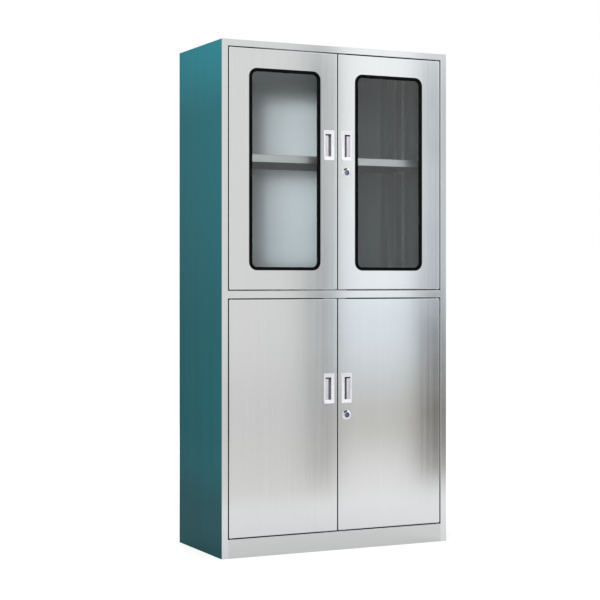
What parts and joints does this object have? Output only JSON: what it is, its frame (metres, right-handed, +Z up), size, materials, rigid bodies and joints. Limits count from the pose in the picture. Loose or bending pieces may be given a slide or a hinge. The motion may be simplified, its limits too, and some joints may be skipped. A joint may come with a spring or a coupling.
{
  "type": "medicine cabinet",
  "caption": "Tall sheet-steel medicine cabinet with glazed doors over plain doors, recessed handles, cam locks, sliding bolts and adjustable shelves.",
  "frame": {"origin": "on the floor, under the middle of the carcase", "axes": "+Z up, -Y towards the front with the doors, +X to the right seen from the front"},
  "size_m": [0.9, 0.4042, 1.8],
  "materials": {
    "side_finish": "satin teal lacquer with a fine vertical grain",
    "brushed_front": "vertical brushed grain",
    "inner_steel": "dull brushed",
    "plated_steel": "zinc plated",
    "black_rubber": "matte",
    "clear_glass": "polished",
    "handle_finish": "satin pale grey",
    "lock_chrome": "polished",
    "bush_nylon": "moulded, black"
  },
  "bodies": {
    "carcase": {"left_side_panel": "side_finish", "right_side_panel": "side_finish", "back_panel": "inner_steel", "top_panel": "brushed_front", "mid_panel": "inner_steel", "bottom_panel": "inner_steel", "left_front_post": "brushed_front", "right_front_post": "brushed_front", "rear_posts": "inner_steel", "top_rail": "brushed_front", "mid_rail": "brushed_front", "plinth": "brushed_front", "rear_plinth": "inner_steel", "hinge_bushes": "bush_nylon", "door_stops": "plated_steel", "door_bumpers": "black_rubber", "upper_shelf": "inner_steel", "lower_shelf": "inner_steel", "shelf_strips": "inner_steel", "shelf_clips": "plated_steel"},
    "upper_left_door": {"upper_left_door_skin": "brushed_front", "upper_left_door_liner": "inner_steel", "upper_left_gasket": "black_rubber", "upper_left_glass": "clear_glass", "upper_left_handle": "handle_finish", "upper_left_hinge_pins": "plated_steel", "upper_left_bolt_guides": "plated_steel", "upper_strike_plate": "plated_steel"},
    "upper_right_door": {"upper_right_door_skin": "brushed_front", "upper_right_door_liner": "inner_steel", "upper_right_gasket": "black_rubber", "upper_right_glass": "clear_glass", "upper_right_handle": "handle_finish", "upper_right_hinge_pins": "plated_steel", "upper_lock_barrel": "lock_chrome", "upper_lock_nut": "plated_steel"},
    "upper_top_bolt": {"upper_left_top_bolt": "plated_steel"},
    "upper_bottom_bolt": {"upper_left_bottom_bolt": "plated_steel"},
    "upper_lock_plug": {"upper_lock_plug": "lock_chrome", "upper_lock_cam": "plated_steel"},
    "lower_left_door": {"lower_left_door_skin": "brushed_front", "lower_left_door_liner": "inner_steel", "lower_left_stiffener": "inner_steel", "lower_left_handle": "handle_finish", "lower_left_hinge_pins": "plated_steel", "lower_left_bolt_guides": "plated_steel", "lower_strike_plate": "plated_steel"},
    "lower_right_door": {"lower_right_door_skin": "brushed_front", "lower_right_door_liner": "inner_steel", "lower_right_stiffener": "inner_steel", "lower_right_handle": "handle_finish", "lower_right_hinge_pins": "plated_steel", "lower_lock_barrel": "lock_chrome", "lower_lock_nut": "plated_steel"},
    "lower_top_bolt": {"lower_left_top_bolt": "plated_steel"},
    "lower_bottom_bolt": {"lower_left_bottom_bolt": "plated_steel"},
    "lower_lock_plug": {"lower_lock_plug": "lock_chrome", "lower_lock_cam": "plated_steel"}
  },
  "joints": [
    {"name": "upper_left_door_hinge", "type": "hinge", "parent": "carcase", "child": "upper_left_door", "pos_m": [-0.4128, -0.1935, 1.3525], "axis": [0, 0, -1], "range_deg": [0, 110]},
    {"name": "upper_right_door_hinge", "type": "hinge", "parent": "carcase", "child": "upper_right_door", "pos_m": [0.4128, -0.1935, 1.3525], "axis": [0, 0, 1], "range_deg": [0, 110]},
    {"name": "upper_top_bolt_slide", "type": "slide", "parent": "upper_left_door", "child": "upper_top_bolt", "axis": [0, 0, 1], "range_m": [0, 0.012]},
    {"name": "upper_bottom_bolt_slide", "type": "slide", "parent": "upper_left_door", "child": "upper_bottom_bolt", "axis": [0, 0, -1], "range_m": [0, 0.012]},
    {"name": "upper_lock_turn", "type": "hinge", "parent": "upper_right_door", "child": "upper_lock_plug", "pos_m": [0.035, -0.2, 1.34989], "axis": [0, 1, 0], "range_deg": [0, 90]},
    {"name": "lower_left_door_hinge", "type": "hinge", "parent": "carcase", "child": "lower_left_door", "pos_m": [-0.4128, -0.1935, 0.4835], "axis": [0, 0, -1], "range_deg": [0, 110]},
    {"name": "lower_right_door_hinge", "type": "hinge", "parent": "carcase", "child": "lower_right_door", "pos_m": [0.4128, -0.1935, 0.4835], "axis": [0, 0, 1], "range_deg": [0, 110]},
    {"name": "lower_top_bolt_slide", "type": "slide", "parent": "lower_left_door", "child": "lower_top_bolt", "axis": [0, 0, 1], "range_m": [0, 0.012]},
    {"name": "lower_bottom_bolt_slide", "type": "slide", "parent": "lower_left_door", "child": "lower_bottom_bolt", "axis": [0, 0, -1], "range_m": [0, 0.012]},
    {"name": "lower_lock_turn", "type": "hinge", "parent": "lower_right_door", "child": "lower_lock_plug", "pos_m": [0.035, -0.2, 0.48185], "axis": [0, 1, 0], "range_deg": [0, 90]}
  ]
}
